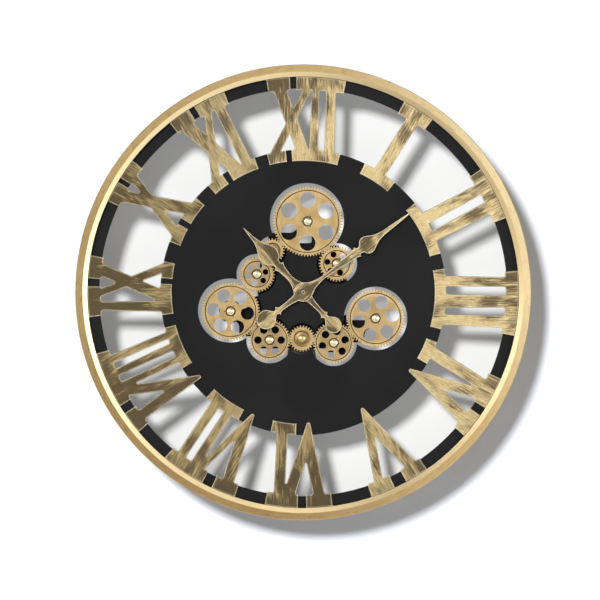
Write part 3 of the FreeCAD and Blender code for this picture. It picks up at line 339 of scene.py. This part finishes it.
def zinc_steel():
    """Zinc-plated sheet steel: rolled grain and faint cloudy spangle."""
    f = Finish("zinc_steel")
    coords = f.coords()
    spangle = f.node("TexVoronoi", {"Vector": coords, "Scale": 260.0}, "Color")
    spangle_tone, _, _ = f.parts(spangle)
    rolling = f.noise(f.scaled(coords, (90.0, 90.0, 2400.0)), 1.0, 3.0, 0.6)
    tone = f.plus(f.times(spangle_tone, 0.4), f.times(rolling, 0.6))
    colour = f.blend(f.between(tone, 0.2, 0.8), (0.46, 0.47, 0.49), (0.66, 0.67, 0.68))
    # Painted shade darkens the corners.
    colour = f.blend(f.times(f.corner_shade_and_dust(3.0 * MM), 0.6), colour, (0.14, 0.14, 0.14))
    f.shade(
        Base_Color=colour,
        Metallic=0.95,
        Roughness=f.between(tone, 0.2, 0.8, 0.30, 0.46),
        Normal=f.bump(rolling, 0.01 * MM),
    )
    return f.material


def moulded(name, base, gloss=0.45):
    """Moulded plastic with a spark-eroded grain, pale on rubbed edges and dusty in corners."""
    f = Finish(name)
    coords = f.coords()
    grain = f.noise(coords, 2600.0, 2.0, 0.55)
    clouds = f.noise(coords, 45.0, 3.0, 0.5)
    lighter = tuple(min(1.0, part * 1.18 + 0.006) for part in base)
    dust = tuple(0.6 * part + 0.05 for part in base)
    rubbed = tuple(min(1.0, part * 1.5 + 0.02) for part in base)
    colour = f.blend(f.between(clouds, 0.3, 0.7), base, lighter)
    colour = f.blend(f.times(f.corner_shade_and_dust(3.0 * MM), 0.5), colour, dust)
    colour = f.blend(f.times(f.edge_wear(0.35 * MM), 0.5), colour, rubbed)
    f.shade(
        Base_Color=colour,
        Roughness=f.between(grain, 0.2, 0.8, gloss, gloss + 0.14),
        Normal=f.bump(grain, 0.03 * MM),
    )
    return f.material


# ---------------------------------------------------------------- which node wears what

SLOT_FINISHES = {
    "ring_gold": ring_gold(),
    "antique_gold": antique_gold("antique_gold"),
    "gear_gold": gear_gold("gear_gold"),
    "pin_brass": turned_metal("pin_brass", (0.66, 0.58, 0.39), (0.48, 0.38, 0.20), 0.24),
    "brass_part": turned_metal("brass_part", (0.80, 0.62, 0.32), (0.56, 0.40, 0.18), 0.28),
    "black_steel": black_steel(),
    "zinc_steel": zinc_steel(),
    "black_plastic": moulded("black_plastic", (0.016, 0.016, 0.017)),
    "white_plastic": moulded("white_plastic", (0.70, 0.69, 0.63), 0.35),
    "grey_plastic": moulded("grey_plastic", (0.24, 0.25, 0.26)),
    "cell_jacket": moulded("cell_jacket", (0.06, 0.16, 0.10), 0.25),
    "wire_red": moulded("wire_red", (0.42, 0.03, 0.02), 0.30),
    "board_green": moulded("board_green", (0.02, 0.14, 0.06), 0.30),
}
# The patina was brushed on by hand, so every numeral took it differently. Numerals 6 to 10,
# low on the left, are also painted with a duller gold, and 6, 8 and 9 with more brown, as painted
# shade.
NUMERAL_PATINA_AND_SHADE = {
    1: -0.02, 2: -0.02, 3: 0.0, 4: -0.06, 5: -0.02, 6: 0.07,
    7: 0.01, 8: 0.08, 9: 0.12, 10: 0.03, 11: -0.03, 12: 0.01,
}
BRIGHT_GOLD = (0.56, 0.44, 0.235)
# The duller gold is painted shade on numerals 6 to 10.
SHADED_GOLD = (0.42, 0.325, 0.155)
SHADED_HOURS = (6, 7, 8, 9, 10)
# Each gear's web is darker, at its own share of the brightness of its rim.
WEB_TONES = {
    "gear_top": 0.90, "gear_upper_right": 0.97, "gear_upper_left": 1.0,
    "gear_middle_left": 0.80, "gear_left": 0.97, "gear_lower_left": 0.78,
    "gear_bottom": 0.88, "gear_lower_right": 0.80, "gear_right": 0.80,
}
HAND_DIRECTIONS = {"minute_hand": math.radians(53.4), "hour_hand": math.radians(-42.9)}


def dress(node, material):
    node.data.materials.clear()
    node.data.materials.append(material)


for subpart in frame["record"]["subparts"]:
    dress(NODES[subpart["node"]], SLOT_FINISHES[subpart["material_slot"]])
for hour, level in NUMERAL_PATINA_AND_SHADE.items():
    name = f"numeral_{hour:02d}"
    # Numerals 6 to 10 take the duller gold as painted shade.
    bright = SHADED_GOLD if hour in SHADED_HOURS else BRIGHT_GOLD
    dress(NODES[name], antique_gold(name + "_gold", patina_and_shade_level=level, bright=bright))
for name, tone in WEB_TONES.items():
    dress(NODES[name], gear_gold(name + "_gold", name, tone))
for name, direction in HAND_DIRECTIONS.items():
    dress(NODES[name], antique_gold(name + "_gold", direction, patina_and_shade_level=0.05))
# The driven gear's cap has the gears' finish, not the bright one of the eight fixed caps.
dress(NODES["drive_cap"], SLOT_FINISHES["gear_gold"])


# ---------------------------------------------------------------- wall and floor

WALL_FACE = 30.5 * MM
WALL_REACH = 6.0
FLOOR_DROP = 1.6


def plane(name, corners):
    mesh = bpy.data.meshes.new(name)
    mesh.from_pydata(corners, [], [range(len(corners))])
    made = bpy.data.objects.new(name, mesh)
    bpy.context.scene.collection.objects.link(made)
    return made


def wall_paint():
    """Pale emulsion, faintly stippled by the roller. Seen from behind, it isn't there.

    It is a neutral grey with a faint painted glow of its own, standing in for light, strongest
    behind the clock, where little light gets in, and most so behind the disc. Behind the clock
    its grey is also painted darker, as painted shade.
    """
    f = Finish("wall_paint")
    coords = f.coords()
    stipple = f.noise(coords, 380.0, 3.0, 0.5)
    x, _, z = f.parts(coords)
    radius = f.from_axis(x, z)
    # Painted light: the wall glows behind the disc and the clock, and faintly everywhere.
    glow_behind_disc = f.between(radius, DISC_GLOW_RADIUS - 40.0 * MM, DISC_GLOW_RADIUS, 0.12, 0.0)
    glow_and_shade_behind_clock = f.between(radius, CLOCK_RADIUS - 15.0 * MM, CLOCK_RADIUS + 2.0 * MM, 1.0, 0.0)
    glow = f.plus(glow_behind_disc, f.plus(f.times(glow_and_shade_behind_clock, 0.155), 0.01))
    paint = f.blend(stipple, (0.41, 0.425, 0.455), (0.43, 0.445, 0.475))
    f.shade(
        # Painted shade: behind the clock the wall's grey is darker.
        Base_Color=f.blend(glow_and_shade_behind_clock, paint, (0.35, 0.35, 0.35)),
        Roughness=0.9,
        Specular_IOR_Level=0.0,
        Normal=f.bump(stipple, 0.02 * MM),
        Emission_Color=(0.98, 0.99, 1.0),
        Emission_Strength=glow,
    )
    behind = f.node("NewGeometry", {}, "Backfacing")
    clear = f.node("BsdfTransparent", {})
    values = {0: behind, 1: f.shader.outputs[0], 2: clear}
    f.feed(f.tree.nodes["Material Output"].inputs[0], f.node("MixShader", values))
    return f.material


wall_corners = [
    (x * WALL_REACH, WALL_FACE, z)
    for x, z in ((-1, -FLOOR_DROP), (1, -FLOOR_DROP), (1, WALL_REACH), (-1, WALL_REACH))
]
wall = plane("wall", wall_corners)
dress(wall, wall_paint())
wall.visible_shadow = False
floor_corners = [
    (x * WALL_REACH, y * WALL_REACH, -FLOOR_DROP) for x, y in ((-1, -1), (1, -1), (1, 1), (-1, 1))
]
floor = plane("floor", floor_corners)
dress(floor, moulded("floor_paint", (0.72, 0.72, 0.72), 0.6))


# ---------------------------------------------------------------- light and camera

def aim(made, direction):
    made.rotation_mode = "QUATERNION"
    made.rotation_quaternion = Vector(direction).to_track_quat("-Z", "Y")


def light(name, kind, energy, **settings):
    data = bpy.data.lights.new(name, kind)
    data.energy = energy
    for key, value in settings.items():
        setattr(data, key, value)
    made = bpy.data.objects.new(name, data)
    bpy.context.scene.collection.objects.link(made)
    return made


def lit_group(name, members):
    """Objects that a light is meant for; everything still casts its shadow."""
    group = bpy.data.collections.new(name)
    for member in members:
        group.objects.link(member)
    return group


KEY_SPREAD = 0.20
KEY_DIRECTION = (0.360, 0.858, -0.366)

clock_only = lit_group("clock_only", NODES.values())
stage_only = lit_group("stage_only", (wall, floor))


def key_light(name, energy, receivers):
    """The main light for one group, from the front and high on the left, with soft shadows."""
    made = light(name, "SUN", energy, angle=KEY_SPREAD)
    aim(made, KEY_DIRECTION)
    made.light_linking.receiver_collection = receivers


def panel(name, place, energy, size):
    """A square soft light that faces the clock and is flagged off the wall."""
    made = light(name, "AREA", energy, size=size)
    made.location = place
    aim(made, -Vector(place))
    made.light_linking.receiver_collection = clock_only


UP_RIGHT = (0.8, 0.0, 0.6)
STUDIO_DARKEST = 0.17
STUDIO_BRIGHTEST = 0.38


def studio():
    """Grey room, brighter up to the right than down to the left."""
    world = bpy.data.worlds.new("studio")
    world.use_nodes = True
    tree = world.node_tree
    direction = tree.nodes.new("ShaderNodeTexCoord")
    slope = tree.nodes.new("ShaderNodeVectorMath")
    slope.operation = "DOT_PRODUCT"
    slope.inputs[1].default_value = UP_RIGHT
    tree.links.new(direction.outputs["Generated"], slope.inputs[0])
    grey = tree.nodes.new("ShaderNodeMapRange")
    grey.interpolation_type = "SMOOTHSTEP"
    limits = {
        "From Min": -0.5,
        "From Max": 0.5,
        "To Min": STUDIO_DARKEST,
        "To Max": STUDIO_BRIGHTEST,
    }
    for key, value in limits.items():
        grey.inputs[key].default_value = value
    tree.links.new(slope.outputs["Value"], grey.inputs[0])
    tree.links.new(grey.outputs[0], tree.nodes["Background"].inputs["Color"])
    return world


key_light("key_on_clock", 3.7, clock_only)
key_light("key_on_wall", 7.0, stage_only)
panel("front_softbox", (0.95, -2.6, 0.35), 17.0, 1.0)
panel("right_softbox", (2.3, -1.6, 0.3), 60.0, 1.4)
panel("left_softbox", (-2.3, -1.6, 0.5), 30.0, 0.9)
panel("rear_fill_left", (-1.6, 2.0, 1.0), 30.0, 1.2)
panel("rear_fill_right", (1.6, 2.0, 1.0), 30.0, 1.2)

bpy.context.scene.world = studio()

# A long lens from far off, a little left of the clock's axis and below it.
CAMERA_PLACE = (-4.2 * MM, -8.0, -10.1 * MM)

camera_data = bpy.data.cameras.new("camera")
camera_data.sensor_width = 36.0
camera_data.lens = 363.4
camera_data.clip_end = 100.0
camera = bpy.data.objects.new("camera", camera_data)
bpy.context.scene.collection.objects.link(camera)
camera.location = CAMERA_PLACE
aim(camera, (0.0, 1.0, 0.0))
bpy.context.scene.camera = camera
bpy.context.scene.view_settings.view_transform = "Standard"
